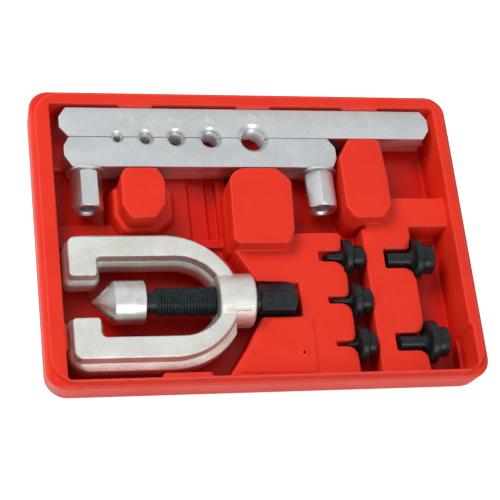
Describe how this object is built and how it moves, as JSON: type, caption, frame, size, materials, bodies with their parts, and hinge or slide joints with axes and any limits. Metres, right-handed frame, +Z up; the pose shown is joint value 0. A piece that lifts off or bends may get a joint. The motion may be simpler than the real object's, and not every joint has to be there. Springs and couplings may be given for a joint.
{
  "type": "double flaring tool set",
  "caption": "Tube flaring kit in a moulded tray: split die bars with clamp nuts, hooked yoke with cone-tipped forcing screw, and turned double-flaring adapters.",
  "frame": {"origin": "centre of the tray's underside, on the surface it rests on", "axes": "+X along the tray from the yoke's hooks to the adapters, +Y from the yoke to the die bars, +Z up"},
  "size_m": [0.22, 0.1578, 0.0285],
  "materials": {
    "tray_plastic": "moulded, light grain",
    "bar_steel": "satin plated",
    "nut_steel": "bright plated",
    "forged_steel": "plated over a forged surface",
    "turned_steel": "fine turned",
    "spring_steel": "plain spring wire",
    "black_oxide_steel": "black oxide"
  },
  "bodies": {
    "tray": {"tray": "tray_plastic"},
    "die_set": {"long_die_bar": "bar_steel", "left_stud": "nut_steel", "right_stud": "nut_steel", "left_dowel": "nut_steel", "right_dowel": "nut_steel"},
    "clamp_jaw": {"short_die_bar": "bar_steel", "left_washer": "nut_steel", "right_washer": "nut_steel"},
    "left_nut": {"left_clamp_nut": "nut_steel"},
    "right_nut": {"right_clamp_nut": "nut_steel"},
    "yoke": {"yoke": "forged_steel"},
    "cone": {"flaring_cone": "turned_steel", "thrust_ball": "turned_steel", "retaining_ring": "spring_steel"},
    "screw": {"forcing_screw": "black_oxide_steel"},
    "adapter_3_16": {"adapter_3_16": "black_oxide_steel"},
    "adapter_1_4": {"adapter_1_4": "black_oxide_steel"},
    "adapter_5_16": {"adapter_5_16": "black_oxide_steel"},
    "adapter_3_8": {"adapter_3_8": "black_oxide_steel"},
    "adapter_1_2": {"adapter_1_2": "black_oxide_steel"}
  },
  "joints": [
    {"name": "die_set_lift", "type": "slide", "parent": "tray", "child": "die_set", "axis": [0, 0, 1], "range_m": [0, 0.05]},
    {"name": "jaw_open", "type": "slide", "parent": "die_set", "child": "clamp_jaw", "axis": [0, -1, 0], "range_m": [0, 0.0014]},
    {"name": "left_nut_turn", "type": "hinge", "parent": "clamp_jaw", "child": "left_nut", "pos_m": [-0.0835, 0.0247, 0.0143], "axis": [0, -1, 0], "range_deg": [0, 358]},
    {"name": "right_nut_turn", "type": "hinge", "parent": "clamp_jaw", "child": "right_nut", "pos_m": [0.0367, 0.0247, 0.0143], "axis": [0, -1, 0], "range_deg": [0, 358]},
    {"name": "yoke_lift", "type": "slide", "parent": "tray", "child": "yoke", "axis": [0, 0, 1], "range_m": [0, 0.05]},
    {"name": "screw_feed", "type": "slide", "parent": "yoke", "child": "cone", "axis": [1, 0, 0], "range_m": [-0.003, 0.0028]},
    {"name": "screw_turn", "type": "hinge", "parent": "cone", "child": "screw", "pos_m": [0, -0.0343, 0.0152], "axis": [1, 0, 0], "range_deg": [-766, 715]},
    {"name": "adapter_3_16_lift", "type": "slide", "parent": "tray", "child": "adapter_3_16", "axis": [0, 0, 1], "range_m": [0, 0.04]},
    {"name": "adapter_1_4_lift", "type": "slide", "parent": "tray", "child": "adapter_1_4", "axis": [0, 0, 1], "range_m": [0, 0.04]},
    {"name": "adapter_5_16_lift", "type": "slide", "parent": "tray", "child": "adapter_5_16", "axis": [0, 0, 1], "range_m": [0, 0.04]},
    {"name": "adapter_3_8_lift", "type": "slide", "parent": "tray", "child": "adapter_3_8", "axis": [0, 0, 1], "range_m": [0, 0.04]},
    {"name": "adapter_1_2_lift", "type": "slide", "parent": "tray", "child": "adapter_1_2", "axis": [0, 0, 1], "range_m": [0, 0.04]}
  ],
  "couplings": [
    {"joint": "left_nut_turn", "follows": "jaw_open", "rad_per_m": 4452.7},
    {"joint": "right_nut_turn", "follows": "jaw_open", "rad_per_m": 4452.7},
    {"joint": "screw_turn", "follows": "screw_feed", "rad_per_m": 4452.7}
  ]
}
